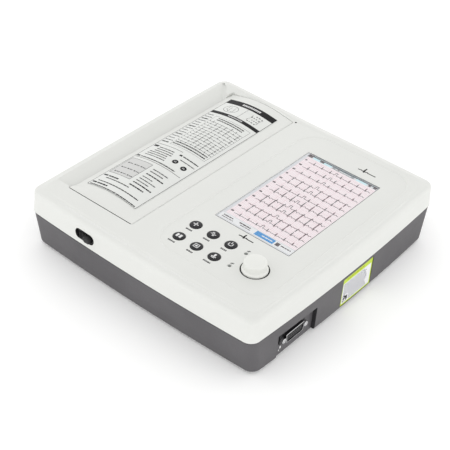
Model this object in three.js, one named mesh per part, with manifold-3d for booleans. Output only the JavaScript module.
// A twelve-channel ECG machine: a flat desktop recorder with a paper door on the left and a touch screen,
// six keys and a turning knob on the right. Millimetres, +Z up, +X to the right, +Y away from the user.
// The origin is under the middle of the case, on the surface it stands on.
import * as THREE from "three";
import { mergeVertices } from "three/addons/utils/BufferGeometryUtils.js";
import Module from "manifold-3d";

const wasm = await Module();
wasm.setup();

// ---- Sizes that can be set one by one ----
// Case
const CASE_WIDTH = 296;
const CASE_DEPTH = 305.5;
const FOOT_HEIGHT = 3;
const LOWER_HEIGHT = 41.5; // dark half, from its floor to the seam
const UPPER_HEIGHT = 26.5; // white half, from the seam to the crest of its rim
const WALL = 2.5;
const GAP = 0.3; // between pieces that touch
const CORNER_RADIUS = 10;
const EDGE_RADIUS = 6.5; // rolled edge of the white half
const UPPER_DRAFT = 1.2; // how far the white walls lean in
const LOWER_INSET_SIDE = 1.2; // how far the dark walls lean in, left and right
const LOWER_INSET_END = 6.9; // the same, front and rear
const FRONT_BOW = 3.9; // how far the middle of each wall stands out from its corners
const RIGHT_BOW = 4.5;
const LEFT_BOW = 1;
const REAR_BOW = 1;
const CREST_INSET = 9; // from the outer wall in to the crest of the rim
const DECK_INSET = 15; // from the outer wall in to the flat deck
const DECK_DROP = 0.8; // deck below the crest
const DECK_CORNER = 26;
const REAR_LEFT_RISE = 2.2; // the rim climbs towards the rear left corner
const PANEL_STEP = 0.8; // screen panel below the deck
// Paper door and printer
const RIM_WIDTH = 9; // left rim outside the paper trough
const TROUGH_WIDTH = 18;
const TROUGH_LIP_DROP = 6; // inner lip of the trough below the deck
const DOOR_WIDTH = 87.5;
const DOOR_FRONT_MARGIN = 33.5;
const DOOR_REAR_MARGIN = 15.5;
const DOOR_GAP = 0.5;
const DOOR_THICKNESS = 2.2;
const DOOR_RISE = 6; // arch of the door above its own edges
const DOOR_LEFT_DROP = 2.5; // free edge of the door below the deck
const DOOR_RAMP = 18; // front stretch where the arch dies out
const HINGE_RADIUS = 3;
const PIN_RADIUS = 1.25;
const PIN_LENGTH = 16;
const ROLLER_RADIUS = 6.5;
const ROLLER_OVERHANG = 3; // platen beyond the paper at each end
const SHAFT_RADIUS = 3;
const PLATEN_INSET = 10; // platen axis from the free edge of the door
const PLATEN_DROP = 11.2; // platen axis below the deck
const BRACKET_THICKNESS = 3;
const GEAR_MODULE = 0.8;
const PLATEN_TEETH = 16;
const MOTOR_TEETH = 12;
const GEAR_WIDTH = 4.5;
const MESH_ANGLE = -20; // direction from the platen gear to the motor pinion, in degrees
const MOTOR_RADIUS = 9;
const MOTOR_LENGTH = 15.5;
const HEAD_WIDTH = 14;
const HEAD_THICKNESS = 0.9;
const HEATSINK_HEIGHT = 6.7;
const PAPER_WIDTH = 210; // a door too short for it takes narrower paper
const ROLL_RADIUS = 22;
const CORE_RADIUS = 8;
const JOURNAL_RADIUS = 4;
const TRAY_WALL = 2;
// Door latch
const LATCH_WIDTH = 26;
const LATCH_HEIGHT = 11;
const LATCH_TRAVEL = 5;
const LATCH_NUB = 3.4; // how far the thumb nub stands out of the wall
// Screen, keys and knob
const SCREEN_WIDTH = 91.8;
const SCREEN_LENGTH = 153.6; // held to the room behind the keys
const SCREEN_FROM_RIGHT = 88.6;
const SCREEN_REAR_MARGIN = 48.95;
const SCREEN_KEY_GAP = 12; // least distance between the rear keys and the visible screen
const GLASS_THICKNESS = 2.2;
const LCD_BORDER = 4; // LCD module outside the visible window, sides
const LCD_BORDER_END = 5.5;
const LCD_THICKNESS = 5.8;
const KEY_RADIUS = 6.2;
const KEY_PITCH_X = 22.2;
const KEY_PITCH_Y = 24.5;
const KEYS_FROM_RIGHT = 137.2;
const KEYS_FROM_FRONT = 52.95;
const KEY_TRAVEL = 0.8;
const KNOB_RADIUS = 13;
const KNOB_TOP_RADIUS = 11.6;
const KNOB_HEIGHT = 11.5;
const KNOB_TRAVEL = 0.5;
const KNOB_FROM_RIGHT = 53.4;
const WELL_DEPTH = 2;
const BOARD_THICKNESS = 1.6;
// Sockets and fittings
const POCKET_DEPTH = 6; // patient connector pocket, from the widest point of the right wall
const POCKET_LENGTH = 56;
const POCKET_HEIGHT = 28;
const POCKET_FROM_FRONT = 43.75;
const CONNECTOR_HEIGHT = 19; // centre of the patient connector above the case floor
const JACKSCREW_SPACING = 33.3;
const REAR_POCKET_DEPTH = 8;
const REAR_POCKET_WIDTH = 134;
const REAR_POCKET_FROM_RIGHT = 16;
const REAR_FITTING_HEIGHT = 20; // centre of the rear sockets above the case floor
const FOOT_RADIUS = 7;
const SCREW_BOSS_RADIUS = 5;
const SCREW_RADIUS = 1.5;

// ---- Places that follow from them ----
const halfWidth = CASE_WIDTH / 2;
const halfDepth = CASE_DEPTH / 2;
const baseZ = FOOT_HEIGHT;
const floorZ = baseZ + WALL;
const seamZ = baseZ + LOWER_HEIGHT;
const crestZ = seamZ + UPPER_HEIGHT;
const deckZ = crestZ - DECK_DROP;
const panelZ = deckZ - PANEL_STEP;
const ceilingZ = panelZ - WALL;
const doorLeftX = -halfWidth + RIM_WIDTH + TROUGH_WIDTH;
const doorRightX = doorLeftX + DOOR_WIDTH;
const doorFrontY = -halfDepth + DOOR_FRONT_MARGIN;
const doorRearY = halfDepth - DOOR_REAR_MARGIN;
const hingeX = doorRightX - HINGE_RADIUS;
const hingeZ = deckZ - HINGE_RADIUS;
const openLeftX = doorLeftX - DOOR_GAP;
const openRightX = doorRightX + DOOR_GAP;
const openFrontY = doorFrontY - DOOR_GAP;
const openRearY = doorRearY + DOOR_GAP;
const doorMiddleY = (doorFrontY + doorRearY) / 2;
const printY = doorMiddleY - 9; // middle of the paper, roll, platen and head
const platenX = doorLeftX + PLATEN_INSET;
const platenZ = deckZ - PLATEN_DROP;
const paperWidth = Math.min(PAPER_WIDTH, doorRearY - doorFrontY - 46);
const rollerLength = paperWidth + 2 * ROLLER_OVERHANG;
const gearY = printY + rollerLength / 2 + 2 + BRACKET_THICKNESS + 1;
const gearDistance = (GEAR_MODULE * (PLATEN_TEETH + MOTOR_TEETH)) / 2;
const meshAngle = THREE.MathUtils.degToRad(MESH_ANGLE);
const motorX = platenX + gearDistance * Math.cos(meshAngle);
const motorZ = platenZ + gearDistance * Math.sin(meshAngle);
const headTopZ = platenZ - ROLLER_RADIUS - GAP;
const sinkTopZ = headTopZ - HEAD_THICKNESS - GAP;
const shelfZ = sinkTopZ - HEATSINK_HEIGHT - GAP;
const trayTopZ = ceilingZ - 5.4;
const trayBottomZ = floorZ + GAP;
const wellRadius = ROLL_RADIUS + 2;
const rollX = hingeX - 7.5 - wellRadius;
const rollZ = trayBottomZ + TRAY_WALL + wellRadius;
const screenX = halfWidth - SCREEN_FROM_RIGHT;
const keyboardZ = ceilingZ - 11.4; // underside of the keypad board
const keyboardTopZ = keyboardZ + BOARD_THICKNESS;
const firstKeyX = halfWidth - KEYS_FROM_RIGHT;
const firstKeyY = -halfDepth + KEYS_FROM_FRONT;
const rearKeysEndY = firstKeyY + KEY_PITCH_Y + KEY_RADIUS;
const screenRearY = halfDepth - SCREEN_REAR_MARGIN;
const screenLength = Math.min(SCREEN_LENGTH, screenRearY - rearKeysEndY - SCREEN_KEY_GAP);
const screenY = screenRearY - screenLength / 2;
const knobX = halfWidth - KNOB_FROM_RIGHT;
const knobY = firstKeyY + KEY_PITCH_Y / 2;
const lampX = (firstKeyX + 2 * KEY_PITCH_X + knobX) / 2 - 1;
const pocketX = halfWidth - POCKET_DEPTH;
const pocketY = -halfDepth + POCKET_FROM_FRONT;
const connectorY = pocketY + 0.41 * POCKET_LENGTH;
const connectorZ = baseZ + CONNECTOR_HEIGHT;
const rearPlaneY = halfDepth - REAR_POCKET_DEPTH;
const rearRightX = halfWidth - REAR_POCKET_FROM_RIGHT;
const rearZ = baseZ + REAR_FITTING_HEIGHT;
const latchX = hingeX - 29.5;
const latchZ = seamZ + 11;

// ---- Materials ----
const paint = (color, roughness, metalness = 0) =>
  new THREE.MeshStandardMaterial({ color, roughness, metalness });
const white = () => paint(0xeceee8, 0.45);
const charcoal = () => paint(0x6a686b, 0.6);
const black = () => paint(0x1c1c1e, 0.5);
const rubber = () => paint(0x2a2a2c, 0.9);
const steel = () => paint(0xb8bcc0, 0.3, 1);
const brass = () => paint(0xc9a24a, 0.3, 1);
const aluminium = () => paint(0xc3c6c9, 0.4, 1);
const board = () => paint(0x1f6b3f, 0.6);
const paper = () => paint(0xf6f2ee, 0.8);
const tan = () => paint(0xd9d6ce, 0.6);

// ---- Solids ----
// A closed three.js geometry as a solid that can be joined and cut.
function solid(geometry) {
  const bare = geometry.clone();
  bare.deleteAttribute("normal");
  bare.deleteAttribute("uv");
  const merged = mergeVertices(bare, 1e-4);
  return new wasm.Manifold(
    new wasm.Mesh({
      numProp: 3,
      vertProperties: new Float32Array(merged.attributes.position.array),
      triVerts: new Uint32Array(merged.index.array),
    }),
  );
}

// The joined or cut solid as a three.js geometry again.
function geometryOf(shape) {
  const mesh = shape.getMesh();
  const geometry = new THREE.BufferGeometry();
  geometry.setAttribute("position", new THREE.BufferAttribute(mesh.vertProperties, 3));
  geometry.setIndex(new THREE.BufferAttribute(mesh.triVerts, 1));
  const flat = geometry.toNonIndexed();
  flat.computeVertexNormals();
  return flat;
}

const join = (...shapes) => shapes.reduce((whole, shape) => whole.add(shape));
const cut = (whole, ...tools) => tools.reduce((left, tool) => left.subtract(tool), whole);

function box(x0, x1, y0, y1, z0, z1) {
  const geometry = new THREE.BoxGeometry(x1 - x0, y1 - y0, z1 - z0);
  geometry.translate((x0 + x1) / 2, (y0 + y1) / 2, (z0 + z1) / 2);
  return solid(geometry);
}

// Three ways to stand a shape's own x, y and extrusion in the part's axes.
const AXES = {
  x: [new THREE.Vector3(0, 1, 0), new THREE.Vector3(0, 0, 1), new THREE.Vector3(1, 0, 0)],
  y: [new THREE.Vector3(0, 0, 1), new THREE.Vector3(1, 0, 0), new THREE.Vector3(0, 1, 0)],
  z: [new THREE.Vector3(1, 0, 0), new THREE.Vector3(0, 1, 0), new THREE.Vector3(0, 0, 1)],
};

function extruded(shape, axis, from, to, curveSegments = 6) {
  const geometry = new THREE.ExtrudeGeometry(shape, { depth: to - from, bevelEnabled: false, curveSegments });
  geometry.translate(0, 0, from);
  geometry.applyMatrix4(new THREE.Matrix4().makeBasis(...AXES[axis]));
  return solid(geometry);
}

// A round rod along an axis; a and b are its centre's other two coordinates, in the order of AXES.
function rod(axis, radius, from, to, a, b, segments = 24) {
  const circle = new THREE.Shape();
  for (let i = 0; i < segments; i++) {
    const angle = ((i + 0.5) * 2 * Math.PI) / segments;
    const x = a + radius * Math.cos(angle);
    const y = b + radius * Math.sin(angle);
    if (i === 0) circle.moveTo(x, y);
    else circle.lineTo(x, y);
  }
  return extruded(circle, axis, from, to, 1);
}

// A turned piece about Z: profile points are [radius, z] from the bottom of the axis to its top.
function turned(profile, x, y, segments = 24) {
  const points = profile.map(([radius, z]) => new THREE.Vector2(radius, z));
  const geometry = new THREE.LatheGeometry(points, segments);
  geometry.rotateX(Math.PI / 2);
  geometry.translate(x, y, 0);
  return solid(geometry);
}

function roundedRectangle(x0, x1, y0, y1, radius) {
  const shape = new THREE.Shape();
  shape.absarc(x1 - radius, y0 + radius, radius, -Math.PI / 2, 0);
  shape.absarc(x1 - radius, y1 - radius, radius, 0, Math.PI / 2);
  shape.absarc(x0 + radius, y1 - radius, radius, Math.PI / 2, Math.PI);
  shape.absarc(x0 + radius, y0 + radius, radius, Math.PI, 1.5 * Math.PI);
  return shape;
}

function polygon(points) {
  return new THREE.Shape(points.map(([x, y]) => new THREE.Vector2(x, y)));
}

// A skin through rings of points, each ring turning right-handed about the way the loft runs.
function loft(rings, across) {
  const count = rings[0].length;
  const index = [];
  for (let level = 0; level < rings.length - 1; level++) {
    for (let i = 0; i < count; i++) {
      const a = level * count + i;
      const b = level * count + ((i + 1) % count);
      index.push(a, b, b + count, a, b + count, a + count);
    }
  }
  const last = (rings.length - 1) * count;
  for (const [i, j, k] of THREE.ShapeUtils.triangulateShape(rings[0].map(across), [])) {
    index.push(i, k, j);
  }
  for (const [i, j, k] of THREE.ShapeUtils.triangulateShape(rings.at(-1).map(across), [])) {
    index.push(last + i, last + j, last + k);
  }
  const geometry = new THREE.BufferGeometry();
  geometry.setAttribute(
    "position",
    new THREE.Float32BufferAttribute(rings.flat().flatMap((point) => point.toArray()), 3),
  );
  geometry.setIndex(index);
  return solid(geometry);
}

// ---- Outline of the case ----
const CORNER_STEPS = 5;
const EDGE_STEPS = 6;

// The middle of each wall stands out from its corners.
function bowed(x, y) {
  const across = (x / halfWidth) ** 2;
  const along = (y / halfDepth) ** 2;
  const sideBow = x > 0 ? RIGHT_BOW : LEFT_BOW;
  const endBow = y > 0 ? REAR_BOW : FRONT_BOW;
  return new THREE.Vector2(x * (1 - (sideBow * along) / halfWidth), y * (1 - (endBow * across) / halfDepth));
}

// The rounded, bowed outline of the case, set in from its widest line.
function caseOutline(insetX, insetY, radius) {
  const reachX = halfWidth - insetX - radius;
  const reachY = halfDepth - insetY - radius;
  const corners = [[1, -1], [1, 1], [-1, 1], [-1, -1]];
  const points = [];
  corners.forEach(([sideX, sideY], corner) => {
    for (let step = 0; step <= CORNER_STEPS; step++) {
      const angle = ((corner - 1 + step / CORNER_STEPS) * Math.PI) / 2;
      const x = sideX * reachX + radius * Math.cos(angle);
      const y = sideY * reachY + radius * Math.sin(angle);
      points.push(new THREE.Vector2(x, y));
    }
    const [nextX, nextY] = corners[(corner + 1) % 4];
    const from = points.at(-1);
    const leaving = (corner * Math.PI) / 2;
    const to = new THREE.Vector2(
      nextX * reachX + radius * Math.cos(leaving),
      nextY * reachY + radius * Math.sin(leaving),
    );
    for (let step = 1; step < EDGE_STEPS; step++) points.push(from.clone().lerp(to, step / EDGE_STEPS));
  });
  return points.map((point) => bowed(point.x, point.y));
}

// The rim climbs smoothly towards the rear left corner.
function rearLeftRise(x, y) {
  const left = THREE.MathUtils.smoothstep(-x, 0, halfWidth);
  const rear = THREE.MathUtils.smoothstep(y, -halfDepth, halfDepth);
  return REAR_LEFT_RISE * left * rear;
}

function caseRing(insetX, insetY, radius, z, riseShare = 0) {
  return caseOutline(insetX, insetY, radius).map(
    ({ x, y }) => new THREE.Vector3(x, y, z + riseShare * rearLeftRise(x, y)),
  );
}

const fromAbove = ({ x, y }) => new THREE.Vector2(x, y);

// Height of the door's outer face; share is how much of the arch is present.
function archZ(x, share) {
  const along = (hingeX - x) / (hingeX - doorLeftX);
  return deckZ - DOOR_LEFT_DROP * along + share * DOOR_RISE * Math.sin(Math.PI * along);
}

// ---- Case ----
function screwPlaces() {
  const x = halfWidth - 15;
  const y = halfDepth - 16.5;
  return { front_left: [-x, -y], front_right: [x, -y], rear_left: [-x, y], rear_right: [x, y] };
}

function footPlaces() {
  const x = halfWidth - 24;
  const y = halfDepth - 36;
  return { front_left: [-x, -y], front_right: [x, -y], rear_left: [-x, y], rear_right: [x, y] };
}

function troughSurface(x) {
  const outer = openLeftX - TROUGH_WIDTH + DOOR_GAP;
  const share = THREE.MathUtils.clamp((openLeftX - x) / (openLeftX - outer), 0, 1);
  return deckZ - TROUGH_LIP_DROP * (1 - share ** 1.5);
}

function troughCut() {
  const outer = openLeftX - TROUGH_WIDTH + DOOR_GAP;
  const points = [[crestZ + 9, openLeftX + 0.2], [troughSurface(openLeftX), openLeftX + 0.2]];
  for (let step = 0; step <= 6; step++) {
    const x = openLeftX + ((outer - openLeftX) * step) / 6;
    points.push([troughSurface(x), x]);
  }
  points.push([crestZ + 9, outer - 1.5]);
  return extruded(polygon(points.reverse()), "y", doorFrontY + 2, doorRearY - 9);
}

function topCase() {
  const rolled = [];
  const rollZ0 = crestZ - 1.2 - EDGE_RADIUS;
  for (let step = 0; step <= 4; step++) {
    const angle = (step / 4) * (Math.PI / 2) * 0.93;
    const inset = UPPER_DRAFT + EDGE_RADIUS * (1 - Math.cos(angle));
    const z = rollZ0 + EDGE_RADIUS * Math.sin(angle);
    rolled.push(caseRing(inset, inset, CORNER_RADIUS, z, 0.2 + 0.2 * step));
  }
  const outer = loft(
    [
      caseRing(0, 0, CORNER_RADIUS, seamZ + GAP / 2),
      ...rolled,
      caseRing(CREST_INSET, CREST_INSET, CORNER_RADIUS + 4, crestZ, 1),
      caseRing(DECK_INSET, DECK_INSET, DECK_CORNER, deckZ),
    ],
    fromAbove,
  );
  const wallInset = WALL + UPPER_DRAFT;
  const cavity = loft(
    [
      caseRing(WALL, WALL, CORNER_RADIUS - WALL, seamZ - 1),
      caseRing(wallInset, wallInset, CORNER_RADIUS - WALL, rollZ0 - 1),
      caseRing(wallInset + EDGE_RADIUS, wallInset + EDGE_RADIUS, CORNER_RADIUS, ceilingZ),
    ],
    fromAbove,
  );
  // Solid stock that stays under the trough, around the door opening and over the knob.
  const troughStock = extruded(
    polygon([
      [troughSurface(openLeftX) - 4, openLeftX],
      [crestZ, openLeftX],
      [crestZ, -halfWidth],
      [deckZ - 5.5, -halfWidth],
    ]),
    "y",
    doorFrontY,
    doorRearY - 7,
  );
  const skirt = box(openLeftX, openRightX + TRAY_WALL, openFrontY - TRAY_WALL, openRearY + TRAY_WALL,
    trayTopZ + GAP, crestZ);
  const knobBoss = rod("z", KNOB_RADIUS + 4, panelZ - WELL_DEPTH - WALL, crestZ, knobX, knobY);
  const hollow = cut(cavity, troughStock, skirt, knobBoss);
  const archPad = loft(
    [
      rearPadRing(openRearY, 1),
      rearPadRing(openRearY + 4, 0.85),
      rearPadRing(halfDepth - CREST_INSET + 2, 0.35),
    ],
    ({ x, z }) => new THREE.Vector2(z, x),
  );
  let shell = cut(join(outer, archPad), hollow);
  const opening = box(openLeftX, openRightX, openFrontY, openRearY, seamZ - 5, crestZ + 20);
  const panel = extruded(
    roundedRectangle(openRightX + 25, halfWidth - 20, -halfDepth + 30.5, halfDepth - 15, DECK_CORNER),
    "z",
    panelZ,
    crestZ + 5,
  );
  const window = box(
    screenX - SCREEN_WIDTH / 2 - GAP,
    screenX + SCREEN_WIDTH / 2 + GAP,
    screenY - screenLength / 2 - GAP,
    screenY + screenLength / 2 + GAP,
    ceilingZ - 2,
    crestZ + 5,
  );
  shell = cut(shell, opening, troughCut(), panel, window);
  for (const [x, y] of Object.values(keyPlaces())) {
    shell = cut(shell, rod("z", KEY_RADIUS + GAP, ceilingZ - 2, crestZ + 5, x, y, 20));
  }
  for (const [x, y] of Object.values(lampPlaces())) {
    shell = cut(shell, rod("z", 1.5 + GAP, ceilingZ - 2, crestZ + 5, x, y, 12));
  }
  shell = cut(
    shell,
    rod("z", KNOB_RADIUS + 1.2, panelZ - WELL_DEPTH, crestZ + 5, knobX, knobY, 32),
    rod("z", SHAFT_RADIUS + 0.7, ceilingZ - 9, crestZ, knobX, knobY, 20),
    extruded(latchSlot(0), "y", -halfDepth - 2, -halfDepth + 8),
    rod("y", PIN_RADIUS + GAP, doorFrontY - 6, doorFrontY, hingeZ, hingeX, 12),
    rod("y", PIN_RADIUS + GAP, doorRearY, doorRearY + 6, hingeZ, hingeX, 12),
  );
  for (const [x, y] of Object.values(screwPlaces())) {
    const boss = rod("z", SCREW_BOSS_RADIUS - 0.5, seamZ + GAP / 2, ceilingZ + 0.6, x, y, 16);
    const pilot = rod("z", SCREW_RADIUS + GAP, seamZ - 2, seamZ + 12, x, y, 12);
    shell = cut(join(shell, boss), pilot);
  }
  return shell;
}

// One ring of the raised pad behind the door, which carries the door's arch on to the rear rim.
function rearPadRing(y, share) {
  const points = [];
  const steps = 12;
  const under = ceilingZ - 2;
  points.push(new THREE.Vector3(hingeX, y, under));
  points.push(new THREE.Vector3(doorLeftX, y, under));
  for (let step = 0; step <= steps; step++) {
    const x = doorLeftX + ((hingeX - doorLeftX) * step) / steps;
    points.push(new THREE.Vector3(x, y, archZ(x, share) - (1 - share) * 0.6));
  }
  return points;
}

function latchSlot(inset) {
  const halfSlot = LATCH_WIDTH / 2 - inset;
  const halfHeight = LATCH_HEIGHT / 2 - inset;
  return roundedRectangle(latchZ - halfHeight, latchZ + halfHeight, latchX - halfSlot, latchX + halfSlot,
    halfHeight - 0.01);
}

function bottomCase() {
  const outer = loft(
    [
      caseRing(LOWER_INSET_SIDE + 2, LOWER_INSET_END + 2, CORNER_RADIUS - 2, baseZ),
      caseRing(LOWER_INSET_SIDE, LOWER_INSET_END, CORNER_RADIUS, baseZ + 2),
      caseRing(0.6, 0.6, CORNER_RADIUS, seamZ - GAP / 2),
    ],
    fromAbove,
  );
  const cavity = loft(
    [
      caseRing(LOWER_INSET_SIDE + WALL, LOWER_INSET_END + WALL, CORNER_RADIUS - WALL, floorZ),
      caseRing(WALL, WALL, CORNER_RADIUS - WALL, seamZ + 1),
    ],
    fromAbove,
  );
  const sideStock = box(pocketX - WALL, halfWidth, pocketY - WALL, pocketY + POCKET_LENGTH + WALL,
    baseZ, baseZ + POCKET_HEIGHT + WALL);
  const rearStock = box(rearRightX - REAR_POCKET_WIDTH - WALL, rearRightX + WALL, rearPlaneY - WALL,
    halfDepth, baseZ, rearZ + 14 + WALL);
  const labelStock = box(halfWidth - 4.5, halfWidth, labelPlace.y0 - 2, labelPlace.y1 + 2,
    labelPlace.z0 - 2, labelPlace.z1 + 2);
  let shell = cut(outer, cut(cavity, sideStock, rearStock, labelStock));
  for (const [x, y] of Object.values(screwPlaces())) {
    shell = join(shell, rod("z", SCREW_BOSS_RADIUS, floorZ - 1, seamZ - GAP / 2, x, y, 16));
  }
  for (const [x, y] of boardPosts()) shell = join(shell, rod("z", 3.5, floorZ - 1, boardZ - GAP, x, y, 12));
  const sidePocket = box(pocketX, halfWidth + 5, pocketY, pocketY + POCKET_LENGTH, baseZ - 1,
    baseZ + POCKET_HEIGHT);
  const rearPocket = box(rearRightX - REAR_POCKET_WIDTH, rearRightX, rearPlaneY, halfDepth + 5, rearZ - 14,
    rearZ + 14);
  const connectorHole = extruded(connectorOutline(connectorSize.bodyGrow), "x", pocketX - 6, pocketX + 2);
  shell = cut(shell, sidePocket, rearPocket, connectorHole, labelRecess(), batteryOpening());
  for (const fitting of Object.values(rearFittings)) shell = cut(shell, rearHole(fitting));
  for (const [x, y] of Object.values(screwPlaces())) {
    shell = cut(
      shell,
      rod("z", SCREW_RADIUS + GAP, baseZ - 1, seamZ + 1, x, y, 12),
      rod("z", SCREW_RADIUS + 1.9, baseZ - 1, screwSeatZ, x, y, 16),
    );
  }
  for (const [x, y] of Object.values(footPlaces())) {
    shell = cut(shell, rod("z", FOOT_RADIUS + GAP, baseZ - 1, baseZ + 1, x, y, 24));
  }
  return shell;
}

const screwSeatZ = seamZ - 10;

function caseScrew(x, y) {
  const headZ = screwSeatZ - GAP;
  return turned(
    [
      [0, headZ - 2.2], [SCREW_RADIUS + 1.3, headZ - 2.2], [SCREW_RADIUS + 1.3, headZ], [SCREW_RADIUS, headZ],
      [SCREW_RADIUS, seamZ + 10], [0, seamZ + 11],
    ],
    x,
    y,
    12,
  );
}

function foot(x, y) {
  return turned(
    [[0, 0], [FOOT_RADIUS - 1, 0], [FOOT_RADIUS, 1], [FOOT_RADIUS, baseZ + 1 - GAP], [0, baseZ + 1 - GAP]],
    x,
    y,
  );
}

// ---- Battery bay in the floor ----
const battery = { x0: screenX - 55, x1: screenX + 55, y0: screenY - 52, y1: screenY + 18, height: 20 };

function batteryOpening() {
  return box(battery.x0 - 3, battery.x1 + 3, battery.y0 - 3, battery.y1 + 3, baseZ - 1, floorZ + 1);
}

function batteryCover() {
  const edge = 3 - GAP;
  return box(battery.x0 - edge, battery.x1 + edge, battery.y0 - edge, battery.y1 + edge, baseZ, baseZ + 2);
}

function batteryPack() {
  return box(battery.x0, battery.x1, battery.y0, battery.y1, baseZ + 2 + GAP, baseZ + 2 + battery.height);
}

// ---- Boards inside ----
const boardZ = baseZ + 37;
const mainBoard = {
  x0: screenX - 66,
  x1: screenX + 66,
  y0: screenY - 58,
  y1: Math.min(screenY + 88, rearPlaneY - 24),
};

function boardPosts() {
  const reach = 5;
  return [
    [mainBoard.x0 + reach, mainBoard.y0 + reach],
    [mainBoard.x1 - reach, mainBoard.y0 + reach],
    [mainBoard.x0 + reach, mainBoard.y1 - reach],
    [mainBoard.x1 - reach, mainBoard.y1 - reach],
  ];
}

function mainBoardSolid() {
  const top = boardZ + BOARD_THICKNESS;
  const { x0, x1, y0, y1 } = mainBoard;
  return join(
    box(x0, x1, y0, y1, boardZ, top),
    box(x0 + 45, x0 + 75, y0 + 50, y0 + 80, top - 0.2, top + 2),
    box(x0 + 85, x0 + 100, y0 + 55, y0 + 75, top - 0.2, top + 1.4),
    box(x0 + 20, x0 + 34, y0 + 60, y0 + 78, top - 0.2, top + 1.4),
    box(x0 + 40, x0 + 90, y0 + 4, y0 + 10, top - 0.2, top + 5),
    box(x0 + 4, x0 + 10, y0 + 40, y0 + 90, top - 0.2, top + 5),
  );
}

function ecgBoard() {
  const x1 = pocketX - 12;
  const x0 = x1 - 60;
  const y0 = connectorY - 30;
  const y1 = connectorY + 22;
  const z0 = connectorZ - 8;
  return join(
    box(x0, x1, y0, y1, z0, z0 + BOARD_THICKNESS),
    box(x0 + 4, x1 - 12, y0 + 4, y1 - 4, z0 + BOARD_THICKNESS - 0.2, z0 + 9),
  );
}

function powerSupply() {
  const x1 = rearRightX - 18;
  const x0 = x1 - 86;
  const y1 = rearPlaneY - 24;
  const y0 = y1 - 52;
  const z0 = floorZ + GAP;
  return join(
    box(x0, x1, y0, y1, z0, z0 + 3),
    box(x0 + 6, x0 + 34, y0 + 8, y0 + 34, z0 + 2.8, z0 + 26),
    box(x0 + 44, x0 + 62, y0 + 10, y0 + 28, z0 + 2.8, z0 + 22),
    box(x0 + 66, x0 + 82, y0 + 6, y0 + 46, z0 + 2.8, z0 + 24),
    rod("z", 6, z0 + 2.8, z0 + 24, x0 + 50, y0 + 40, 16),
  );
}

function speaker() {
  const z0 = floorZ + GAP;
  const cone = [[14, z0 + 6.5], [5, z0 + 4.5], [0, z0 + 5.5]];
  const profile = [[0, z0], [12, z0], [18, z0 + 4], [18, z0 + 6.5], ...cone];
  return turned(profile, firstKeyX + 12, firstKeyY - 14, 24);
}

// ---- Screen ----
function touchGlass() {
  return box(
    screenX - SCREEN_WIDTH / 2,
    screenX + SCREEN_WIDTH / 2,
    screenY - screenLength / 2,
    screenY + screenLength / 2,
    panelZ - 0.2 - GLASS_THICKNESS,
    panelZ - 0.2,
  );
}

const lcd = {
  halfX: SCREEN_WIDTH / 2 + LCD_BORDER,
  halfY: screenLength / 2 + LCD_BORDER_END,
  z1: Math.min(ceilingZ, panelZ - 0.2 - GLASS_THICKNESS) - GAP,
};

function lcdModule() {
  const z0 = lcd.z1 - LCD_THICKNESS;
  return box(screenX - lcd.halfX, screenX + lcd.halfX, screenY - lcd.halfY, screenY + lcd.halfY, z0, lcd.z1);
}

function lcdBracket() {
  const room = 0.5;
  const sheet = 1.5;
  const z1 = lcd.z1 - LCD_THICKNESS - GAP;
  const innerX = lcd.halfX + room;
  const innerY = lcd.halfY + room;
  const outerX = innerX + sheet;
  const outerY = innerY + sheet;
  const top = lcd.z1 - 0.5;
  const pan = box(screenX - outerX, screenX + outerX, screenY - outerY, screenY + outerY, z1 - sheet, top);
  return cut(
    pan,
    box(screenX - innerX, screenX + innerX, screenY - innerY, screenY + innerY, z1, lcd.z1 + 1),
    box(screenX - 30, screenX + 30, screenY - 55, screenY + 55, z1 - 5, z1 + 1),
  );
}

// ---- Keys, lamps and knob ----
function keyPlaces() {
  const places = {};
  ["front", "rear"].forEach((row, rowIndex) => {
    ["left", "middle", "right"].forEach((column, columnIndex) => {
      places[`key_${row}_${column}`] = [
        firstKeyX + columnIndex * KEY_PITCH_X,
        firstKeyY + rowIndex * KEY_PITCH_Y,
      ];
    });
  });
  return places;
}

function lampPlaces() {
  return { lamp_front: [lampX, firstKeyY], lamp_rear: [lampX, firstKeyY + KEY_PITCH_Y] };
}

const domeTopZ = keyboardTopZ + GAP + 3.2;

function key(x, y) {
  const flangeZ = ceilingZ - GAP;
  const stemZ = domeTopZ + KEY_TRAVEL + GAP;
  const flangeRadius = KEY_RADIUS + 1.3;
  return turned(
    [
      [0, stemZ], [3, stemZ], [3, flangeZ - 1.4], [flangeRadius, flangeZ - 1.4], [flangeRadius, flangeZ],
      [KEY_RADIUS, flangeZ], [KEY_RADIUS, panelZ + 0.1], [KEY_RADIUS - 0.6, panelZ + 0.5], [0, panelZ + 0.9],
    ],
    x,
    y,
    20,
  );
}

function keypadBoard() {
  const x0 = firstKeyX - 12;
  const x1 = knobX + 14;
  const y0 = firstKeyY - 14;
  const y1 = firstKeyY + KEY_PITCH_Y + 12;
  return join(
    box(x0, x1, y0, y1, keyboardZ, keyboardTopZ),
    box(x0 + 20, x0 + 50, y0 + 3, y0 + 8, keyboardZ - 4, keyboardZ + 0.2),
  );
}

function keypadMat() {
  const margin = KEY_RADIUS + 3;
  const z0 = keyboardTopZ + GAP;
  let mat = box(
    firstKeyX - margin,
    firstKeyX + 2 * KEY_PITCH_X + margin,
    firstKeyY - margin,
    firstKeyY + KEY_PITCH_Y + margin,
    z0,
    z0 + 1,
  );
  for (const [x, y] of Object.values(keyPlaces())) {
    mat = join(mat, turned([[0, z0], [5, z0], [5, z0 + 1.2], [3.5, domeTopZ], [0, domeTopZ]], x, y, 16));
  }
  return mat;
}

function lamp(x, y) {
  const z0 = keyboardTopZ + GAP;
  return turned([[0, z0], [1.5, z0], [1.5, panelZ + 0.1], [0.9, panelZ + 0.4], [0, panelZ + 0.5]], x, y, 12);
}

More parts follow.
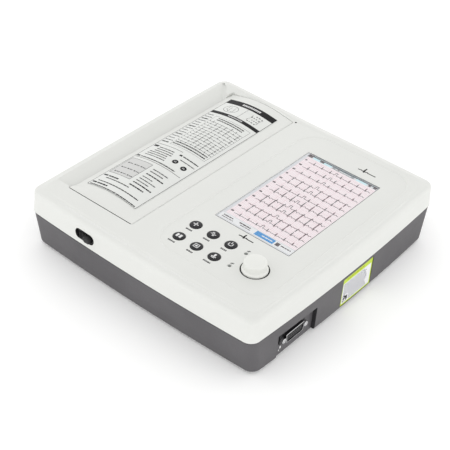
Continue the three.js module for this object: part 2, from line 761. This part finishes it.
const encoderZ = keyboardTopZ + GAP;
const encoderTopZ = panelZ - WELL_DEPTH - WALL - GAP;
const plungerZ = encoderZ + 1 + GAP + KNOB_TRAVEL;
const plungerTopZ = plungerZ + 1.5;
const shaftTopZ = panelZ + 7;

function encoderBody() {
  return cut(
    box(knobX - 7, knobX + 7, knobY - 7, knobY + 7, encoderZ, encoderTopZ),
    rod("z", SHAFT_RADIUS + GAP + 0.2, encoderZ + 1, encoderTopZ + 1, knobX, knobY, 16),
  );
}

function encoderPlunger() {
  return rod("z", SHAFT_RADIUS, plungerZ, plungerTopZ, knobX, knobY, 16);
}

function encoderShaft() {
  const round = rod("z", SHAFT_RADIUS, plungerTopZ + GAP, shaftTopZ, knobX, knobY, 16);
  const flat = box(knobX + SHAFT_RADIUS - 1, knobX + 5, knobY - 5, knobY + 5, panelZ, shaftTopZ + 1);
  return cut(round, flat);
}

function jogKnob() {
  const z0 = panelZ - WELL_DEPTH + KNOB_TRAVEL + 2 * GAP;
  const z1 = panelZ - WELL_DEPTH + KNOB_HEIGHT + 1.5;
  const body = turned(
    [
      [0, z0], [KNOB_RADIUS - 0.5, z0], [KNOB_RADIUS, z0 + 0.6], [KNOB_RADIUS - 0.3, z0 + 3],
      [KNOB_TOP_RADIUS, z0 + 4.2], [KNOB_TOP_RADIUS - 0.4, z1 - 1.6], [KNOB_TOP_RADIUS - 1.8, z1 - 0.2],
      [0, z1],
    ],
    knobX,
    knobY,
    40,
  );
  return cut(body, rod("z", SHAFT_RADIUS + GAP, z0 - 1, shaftTopZ + GAP, knobX, knobY, 16));
}

// ---- Paper door ----
function doorRing(y, share) {
  const points = [];
  const arcSteps = 8;
  for (let step = 0; step <= arcSteps; step++) {
    const angle = (step / arcSteps) * Math.PI;
    const x = hingeX + HINGE_RADIUS * Math.sin(angle);
    points.push(new THREE.Vector3(x, y, hingeZ + HINGE_RADIUS * Math.cos(angle)));
  }
  const steps = 12;
  const underRightX = hingeX - HINGE_RADIUS - 0.5;
  for (let step = 0; step <= steps; step++) {
    const x = underRightX + ((doorLeftX - underRightX) * step) / steps;
    points.push(new THREE.Vector3(x, y, archZ(x, share) - DOOR_THICKNESS));
  }
  for (let step = 0; step < steps; step++) {
    const x = doorLeftX + ((hingeX - doorLeftX) * step) / steps;
    points.push(new THREE.Vector3(x, y, archZ(x, share)));
  }
  return points;
}

const fromRear = ({ x, z }) => new THREE.Vector2(z, x);
const catchX = latchX + 14;

function paperDoor() {
  const rings = [];
  const rampSteps = 4;
  for (let step = 0; step <= rampSteps; step++) {
    const share = step / rampSteps;
    rings.push(doorRing(doorFrontY + DOOR_RAMP * share, THREE.MathUtils.smoothstep(share, 0, 1)));
  }
  rings.push(doorRing(doorRearY, 1));
  let door = loft(rings, fromRear);
  for (const side of [-1, 1]) {
    const inner = printY + side * (rollerLength / 2 + 2);
    const outer = inner + side * BRACKET_THICKNESS;
    const rootZ = archZ(platenX, 0.5) - 0.6;
    const bracket = extruded(
      polygon([
        [platenZ - 5, platenX - 4], [platenZ - 5, platenX + 4], [platenZ, platenX + 7], [rootZ, platenX + 7],
        [rootZ, platenX - 7], [platenZ, platenX - 7],
      ]),
      "y",
      Math.min(inner, outer),
      Math.max(inner, outer),
    );
    door = join(door, bracket);
  }
  // The toe of the hook is cut back, so that it clears the latch tongue as the door swings up.
  const hook = extruded(
    polygon([
      [deckZ - 1, catchX], [latchZ + 1, catchX], [latchZ - 4, catchX + 5.1], [latchZ - 4, catchX + 6],
      [deckZ - 1, catchX + 6],
    ]),
    "y",
    doorFrontY + 0.6,
    doorFrontY + 3.6,
  );
  door = join(door, hook);
  return cut(
    door,
    rod("y", SHAFT_RADIUS + GAP, doorFrontY - 1, gearY, platenZ, platenX, 16),
    rod("y", PIN_RADIUS + GAP, doorFrontY - 1, doorFrontY + PIN_LENGTH, hingeZ, hingeX, 12),
    rod("y", PIN_RADIUS + GAP, doorRearY - PIN_LENGTH, doorRearY + 1, hingeZ, hingeX, 12),
  );
}

function guideLabel() {
  const x0 = doorLeftX + 8;
  const x1 = x0 + 67;
  const y0 = doorFrontY + DOOR_RAMP;
  const y1 = doorRearY - 15;
  const steps = 10;
  const ring = (y) => {
    const points = [];
    for (let step = 0; step <= steps; step++) {
      const x = x1 + ((x0 - x1) * step) / steps;
      points.push(new THREE.Vector3(x, y, archZ(x, 1) + GAP));
    }
    for (let step = 0; step <= steps; step++) {
      const x = x0 + ((x1 - x0) * step) / steps;
      points.push(new THREE.Vector3(x, y, archZ(x, 1) + GAP + 0.25));
    }
    return points;
  };
  return loft([ring(y0), ring(y1)], fromRear);
}

function hingePin(side) {
  const edge = side < 0 ? doorFrontY : doorRearY;
  const outside = edge + side * 3;
  const inside = edge - side * (PIN_LENGTH - 3);
  return rod("y", PIN_RADIUS, Math.min(outside, inside), Math.max(outside, inside), hingeZ, hingeX, 12);
}

// ---- Printer ----
function platenRoller() {
  const y0 = printY - rollerLength / 2;
  const y1 = printY + rollerLength / 2;
  return cut(
    rod("y", ROLLER_RADIUS, y0, y1, platenZ, platenX, 24),
    rod("y", SHAFT_RADIUS + GAP, y0 - 1, y1 + 1, platenZ, platenX, 16),
  );
}

function platenShaft() {
  const y0 = printY - rollerLength / 2 - 2 - BRACKET_THICKNESS;
  return rod("y", SHAFT_RADIUS, y0, gearY + GEAR_WIDTH + 0.6, platenZ, platenX, 16);
}

// A spur gear's outline with a tooth centred on the given direction.
function gearOutline(teeth, toothAngle, centreZ, centreX) {
  const pitch = (2 * Math.PI) / teeth;
  const pitchRadius = (GEAR_MODULE * teeth) / 2;
  const root = pitchRadius - 1.15 * GEAR_MODULE;
  const tip = pitchRadius + 0.85 * GEAR_MODULE;
  const points = [];
  for (let tooth = 0; tooth < teeth; tooth++) {
    const middle = toothAngle + tooth * pitch;
    for (const [share, radius] of [[-0.27, root], [-0.1, tip], [0.1, tip], [0.27, root]]) {
      const angle = middle + share * pitch;
      points.push([centreZ + radius * Math.sin(angle), centreX + radius * Math.cos(angle)]);
    }
  }
  return polygon(points.reverse());
}

function platenGear() {
  return cut(
    extruded(gearOutline(PLATEN_TEETH, meshAngle, platenZ, platenX), "y", gearY, gearY + GEAR_WIDTH),
    rod("y", SHAFT_RADIUS + GAP, gearY - 1, gearY + GEAR_WIDTH + 1, platenZ, platenX, 16),
  );
}

const motorY = gearY + GEAR_WIDTH + 1.5;

function motorPinion() {
  const halfPitch = Math.PI / MOTOR_TEETH;
  return join(
    extruded(gearOutline(MOTOR_TEETH, meshAngle + Math.PI + halfPitch, motorZ, motorX), "y", gearY,
      gearY + GEAR_WIDTH),
    rod("y", 1.5, gearY + GEAR_WIDTH - 0.2, motorY + 6, motorZ, motorX, 12),
  );
}

function feedMotor() {
  return cut(
    rod("y", MOTOR_RADIUS, motorY, motorY + MOTOR_LENGTH, motorZ, motorX, 24),
    rod("y", 1.5 + GAP, motorY - 1, motorY + 6 + GAP, motorZ, motorX, 12),
  );
}

const headHalfLength = rollerLength / 2 + 1;

function thermalHead() {
  const x0 = platenX - HEAD_WIDTH / 2;
  return box(x0, x0 + HEAD_WIDTH, printY - headHalfLength, printY + headHalfLength, headTopZ - HEAD_THICKNESS,
    headTopZ);
}

function headHeatsink() {
  const x0 = platenX - HEAD_WIDTH / 2;
  const y0 = printY - headHalfLength;
  const y1 = printY + headHalfLength;
  const body = box(x0, x0 + HEAD_WIDTH, y0, y1, shelfZ + GAP, sinkTopZ);
  const grooves = [];
  for (let groove = 1; groove < 4; groove++) {
    const x = x0 + (groove * HEAD_WIDTH) / 4;
    grooves.push(box(x - 0.8, x + 0.8, y0 - 1, y1 + 1, shelfZ, shelfZ + 4));
  }
  return cut(body, ...grooves);
}

function paperTray() {
  const x0 = openLeftX + GAP / 2;
  const x1 = openRightX + TRAY_WALL;
  const y0 = openFrontY - TRAY_WALL;
  const y1 = openRearY + TRAY_WALL;
  const halfWell = paperWidth / 2 + 7;
  const saddle = JOURNAL_RADIUS + 0.5;
  const wellTop = Math.max(shelfZ, rollZ) + 5;
  const exitZ = troughSurface(openLeftX) - 5;
  return cut(
    box(x0, x1, y0, y1, trayBottomZ, trayTopZ),
    box(x0 + TRAY_WALL, x1 - TRAY_WALL, y0 + TRAY_WALL, y1 - TRAY_WALL, shelfZ, trayTopZ + 1),
    box(x0 - 1, x0 + TRAY_WALL + 1, y0 + TRAY_WALL, y1 - TRAY_WALL, exitZ, trayTopZ + 1),
    rod("y", wellRadius, printY - halfWell, printY + halfWell, rollZ, rollX, 32),
    box(rollX - wellRadius, rollX + wellRadius, printY - halfWell, printY + halfWell, rollZ, wellTop),
    box(rollX - saddle, rollX + saddle, printY - halfWell - 4, printY + halfWell + 4, rollZ, wellTop),
    rod("y", saddle, printY - halfWell - 4, printY + halfWell + 4, rollZ, rollX, 16),
    box(x0 + TRAY_WALL, rollX - wellRadius - TRAY_WALL, y0 + TRAY_WALL, y1 - TRAY_WALL, trayBottomZ - 1,
      shelfZ - TRAY_WALL),
    box(latchX - 12, catchX - 1, y0 - 1, y0 + TRAY_WALL + 1, latchZ - 4, latchZ + 3),
  );
}

function paperRoll() {
  const y0 = printY - paperWidth / 2;
  const y1 = printY + paperWidth / 2;
  return cut(
    rod("y", ROLL_RADIUS, y0, y1, rollZ, rollX, 36),
    rod("y", CORE_RADIUS + GAP, y0 - 1, y1 + 1, rollZ, rollX, 20),
  );
}

function rollCore() {
  const half = paperWidth / 2;
  return join(
    rod("y", JOURNAL_RADIUS, printY - half - 9.5, printY + half + 9.5, rollZ, rollX, 16),
    rod("y", CORE_RADIUS, printY - half - 4, printY + half + 4, rollZ, rollX, 20),
    rod("y", ROLL_RADIUS - 2, printY - half - 4, printY - half - 1, rollZ, rollX, 28),
  );
}

// ---- Latch ----
function wallY(x, z) {
  const draft = (UPPER_DRAFT * (z - seamZ)) / (UPPER_HEIGHT - 1.2 - EDGE_RADIUS);
  return -(halfDepth - draft) * (1 - (FRONT_BOW * (x / halfWidth) ** 2) / halfDepth);
}

function latchSlider() {
  const front = wallY(latchX, latchZ);
  const plateFront = wallY(latchX - LATCH_WIDTH, latchZ) + WALL + GAP;
  const halfPad = (LATCH_WIDTH - LATCH_TRAVEL) / 2 - 0.5;
  const padX = latchX + LATCH_TRAVEL / 2;
  const padHalfHeight = LATCH_HEIGHT / 2 - 0.5;
  // The plate covers the slot from behind over the whole travel.
  const halfPlate = LATCH_WIDTH / 2 + 1;
  const plate = box(latchX - halfPlate, latchX + halfPlate + LATCH_TRAVEL, plateFront, plateFront + 2,
    latchZ - LATCH_HEIGHT / 2 - 1, latchZ + LATCH_HEIGHT / 2 + 1);
  const pad = extruded(
    roundedRectangle(latchZ - padHalfHeight, latchZ + padHalfHeight, padX - halfPad, padX + halfPad,
      padHalfHeight - 0.01),
    "y",
    front + 0.6,
    plateFront + 1,
  );
  const nub = extruded(
    roundedRectangle(latchZ - 4.6, latchZ + 3, padX - 6, padX + 6, 3.6),
    "y",
    front - LATCH_NUB,
    front + 1,
  );
  const arm = box(catchX - 12, catchX - 6, plateFront + 1, doorFrontY + 3.6, latchZ - 3, latchZ + 1);
  const tongue = box(catchX - 12, catchX - 0.5, doorFrontY + 0.6, doorFrontY + 3.6, latchZ - 3, latchZ + 1);
  return join(plate, pad, nub, arm, tongue);
}

// ---- Patient connector ----
const connectorSize = { halfWide: 12.6, halfNarrow: 11.2, halfTall: 4.2, bodyGrow: 1.6 };

// The D-shaped outline in the pocket's plane, as (y, z).
function connectorOutline(grow) {
  const { halfWide, halfNarrow, halfTall } = connectorSize;
  return polygon([
    [connectorY - halfNarrow - grow, connectorZ - halfTall - grow],
    [connectorY + halfNarrow + grow, connectorZ - halfTall - grow],
    [connectorY + halfWide + grow, connectorZ + halfTall + grow],
    [connectorY - halfWide - grow, connectorZ + halfTall + grow],
  ]);
}

const jackscrewYs = [-1, 1].map((side) => connectorY + (side * JACKSCREW_SPACING) / 2);

function connectorShell() {
  const plate = extruded(
    roundedRectangle(connectorY - 19.6, connectorY + 19.6, connectorZ - 6.25, connectorZ + 6.25, 2),
    "x",
    pocketX + GAP,
    pocketX + GAP + 0.8,
  );
  const rim = extruded(connectorOutline(1.2), "x", pocketX + GAP, pocketX + 4.4);
  return cut(
    join(plate, rim),
    extruded(connectorOutline(0.6), "x", pocketX - 1, pocketX + 6),
    ...jackscrewYs.map((y) => rod("x", 1.5 + GAP, pocketX - 1, pocketX + 6, y, connectorZ, 12)),
  );
}

function connectorInsert() {
  return extruded(connectorOutline(0.3), "x", pocketX - 9, pocketX + 3.6);
}

function jackscrew(y) {
  return join(
    rod("x", 2.9, pocketX + 2 * GAP + 0.8, pocketX + 4.8, y, connectorZ, 6),
    rod("x", 1.5, pocketX + GAP, pocketX + 1.6, y, connectorZ, 12),
  );
}

// ---- Rating label ----
const LABEL_HEIGHT = 34.8;
const LABEL_TOP_MARGIN = 4.3;
const labelBottomZ = baseZ + 2.4;
const labelTopZ = Math.min(labelBottomZ + LABEL_HEIGHT, seamZ - LABEL_TOP_MARGIN);
const labelPlace = { y0: -12, y1: 39, z0: labelBottomZ, z1: labelTopZ };
const labelFaceX = halfWidth - LOWER_INSET_SIDE - 0.6;

function labelRecess() {
  return box(labelFaceX - 0.6, halfWidth + 2, labelPlace.y0 - GAP, labelPlace.y1 + GAP, labelPlace.z0 - GAP,
    labelPlace.z1 + GAP);
}

function ratingLabel() {
  return box(labelFaceX - 0.6 + GAP, labelFaceX, labelPlace.y0, labelPlace.y1, labelPlace.z0, labelPlace.z1);
}

// ---- Rear fittings ----
const rearFittings = {
  ac_inlet: { x: rearRightX - 22, halfX: 13.5, halfZ: 10.2 },
  power_switch: { x: rearRightX - 54, halfX: 6.5, halfZ: 9.6 },
  earth_post: { x: rearRightX - 76, halfX: 2.7, halfZ: 2.7 },
  lan_port: { x: rearRightX - 98, halfX: 8, halfZ: 6.8 },
  usb_port: { x: rearRightX - 122, halfX: 7, halfZ: 3.6 },
};

function rearHole({ x, halfX, halfZ }) {
  return box(x - halfX - GAP, x + halfX + GAP, rearPlaneY - 8, rearPlaneY + 1, rearZ - halfZ - GAP,
    rearZ + halfZ + GAP);
}

function acInlet() {
  const { x, halfX, halfZ } = rearFittings.ac_inlet;
  const front = rearPlaneY + 2 + GAP;
  const body = join(
    box(x - halfX, x + halfX, rearPlaneY - 20, rearPlaneY + 1, rearZ - halfZ, rearZ + halfZ),
    box(x - halfX - 1.8, x + halfX + 1.8, rearPlaneY + GAP, front, rearZ - halfZ - 1.6, rearZ + halfZ + 1.6),
  );
  const socket = extruded(
    polygon([
      [rearZ - 7.6, x - 11.6], [rearZ - 7.6, x + 11.6], [rearZ + 3, x + 11.6], [rearZ + 7.6, x + 7.4],
      [rearZ + 7.6, x - 7.4], [rearZ + 3, x - 11.6],
    ].reverse()),
    "y",
    front - 17,
    front + 1,
  );
  const blade = (bladeX, z) => box(bladeX - 1, bladeX + 1, front - 17.5, front - 2, z - 2, z + 2);
  return join(cut(body, socket), blade(x - 7, rearZ - 2), blade(x + 7, rearZ - 2), blade(x, rearZ + 3));
}

function powerSwitch() {
  const { x, halfX, halfZ } = rearFittings.power_switch;
  const body = join(
    box(x - halfX, x + halfX, rearPlaneY - 12, rearPlaneY + 1, rearZ - halfZ, rearZ + halfZ),
    box(x - halfX - 1, x + halfX + 1, rearPlaneY + GAP, rearPlaneY + 1.8, rearZ - halfZ - 1,
      rearZ + halfZ + 1),
  );
  return cut(
    body,
    box(x - halfX + 1.2, x + halfX - 1.2, rearPlaneY - 7, rearPlaneY + 3, rearZ - halfZ + 1.2,
      rearZ + halfZ - 1.2),
  );
}

const rockerTilt = THREE.MathUtils.degToRad(8);

function powerRocker() {
  const { x, halfX } = rearFittings.power_switch;
  const reach = 7.6;
  const shape = new THREE.Shape();
  shape.moveTo(-reach, 1.6);
  shape.lineTo(-reach, -0.8);
  shape.lineTo(-2.4, -4);
  shape.lineTo(2.4, -4);
  shape.lineTo(reach, -0.8);
  shape.lineTo(reach, 1.6);
  shape.lineTo(0, 0.2);
  const geometry = new THREE.ExtrudeGeometry(shape, { depth: 2 * halfX - 3.2, bevelEnabled: false });
  geometry.rotateZ(rockerTilt);
  // The shape's x runs up, its y runs out of the rear panel and its extrusion runs along +X.
  geometry.applyMatrix4(new THREE.Matrix4().makeBasis(
    new THREE.Vector3(0, 0, -1), new THREE.Vector3(0, 1, 0), new THREE.Vector3(1, 0, 0),
  ));
  geometry.translate(x - halfX + 1.6, rearPlaneY + 1.2, rearZ);
  return solid(geometry);
}

function earthPost() {
  const { x } = rearFittings.earth_post;
  return join(
    rod("y", 2.5, rearPlaneY - 8, halfDepth + 2.4, rearZ, x, 16),
    rod("y", 5, rearPlaneY + GAP, rearPlaneY + 3.5, rearZ, x, 6),
  );
}

function lanPort() {
  const { x, halfX, halfZ } = rearFittings.lan_port;
  return cut(
    box(x - halfX, x + halfX, rearPlaneY - 15, rearPlaneY + 0.8, rearZ - halfZ, rearZ + halfZ),
    box(x - 6, x + 6, rearPlaneY - 12, rearPlaneY + 2, rearZ - 5, rearZ + 4),
  );
}

function usbPort() {
  const { x, halfX, halfZ } = rearFittings.usb_port;
  return join(
    cut(
      box(x - halfX, x + halfX, rearPlaneY - 13, rearPlaneY + 0.8, rearZ - halfZ, rearZ + halfZ),
      box(x - 6.2, x + 6.2, rearPlaneY - 10, rearPlaneY + 2, rearZ - 2.6, rearZ + 2.6),
    ),
    box(x - 5.6, x + 5.6, rearPlaneY - 11, rearPlaneY - 0.6, rearZ + 0.2, rearZ + 2),
  );
}

// ---- The whole machine ----
const machine = new THREE.Group();
machine.name = "ecg_machine";

function place(name, shape, material) {
  const mesh = new THREE.Mesh(geometryOf(shape), material);
  mesh.name = name;
  machine.add(mesh);
}

place("top_case", topCase(), white());
place("bottom_case", bottomCase(), charcoal());
place("paper_door", paperDoor(), white());
place("guide_label", guideLabel(), paper());
place("hinge_pin_front", hingePin(-1), steel());
place("hinge_pin_rear", hingePin(1), steel());
place("platen_roller", platenRoller(), rubber());
place("platen_shaft", platenShaft(), steel());
place("platen_gear", platenGear(), tan());
place("motor_pinion", motorPinion(), brass());
place("feed_motor", feedMotor(), steel());
place("thermal_head", thermalHead(), black());
place("head_heatsink", headHeatsink(), aluminium());
place("paper_tray", paperTray(), tan());
place("paper_roll", paperRoll(), paper());
place("roll_core", rollCore(), black());
place("latch_slider", latchSlider(), black());
place("touch_glass", touchGlass(), black());
place("lcd_module", lcdModule(), aluminium());
place("lcd_bracket", lcdBracket(), steel());
place("keypad_board", keypadBoard(), board());
place("keypad_mat", keypadMat(), rubber());
for (const [name, [x, y]] of Object.entries(keyPlaces())) place(name, key(x, y), charcoal());
for (const [name, [x, y]] of Object.entries(lampPlaces())) place(name, lamp(x, y), paper());
place("encoder_body", encoderBody(), black());
place("encoder_plunger", encoderPlunger(), tan());
place("encoder_shaft", encoderShaft(), steel());
place("jog_knob", jogKnob(), white());
place("main_board", mainBoardSolid(), board());
place("ecg_board", ecgBoard(), board());
place("power_supply", powerSupply(), board());
place("battery_pack", batteryPack(), black());
place("battery_cover", batteryCover(), charcoal());
place("speaker", speaker(), black());
place("connector_shell", connectorShell(), steel());
place("connector_insert", connectorInsert(), black());
place("jackscrew_front", jackscrew(jackscrewYs[0]), steel());
place("jackscrew_rear", jackscrew(jackscrewYs[1]), steel());
place("rating_label", ratingLabel(), paper());
place("ac_inlet", acInlet(), black());
place("power_switch", powerSwitch(), black());
place("power_rocker", powerRocker(), black());
place("lan_port", lanPort(), steel());
place("usb_port", usbPort(), steel());
place("earth_post", earthPost(), brass());
for (const [name, [x, y]] of Object.entries(footPlaces())) place(`foot_${name}`, foot(x, y), rubber());
for (const [name, [x, y]] of Object.entries(screwPlaces())) {
  place(`case_screw_${name}`, caseScrew(x, y), steel());
}

export default machine;
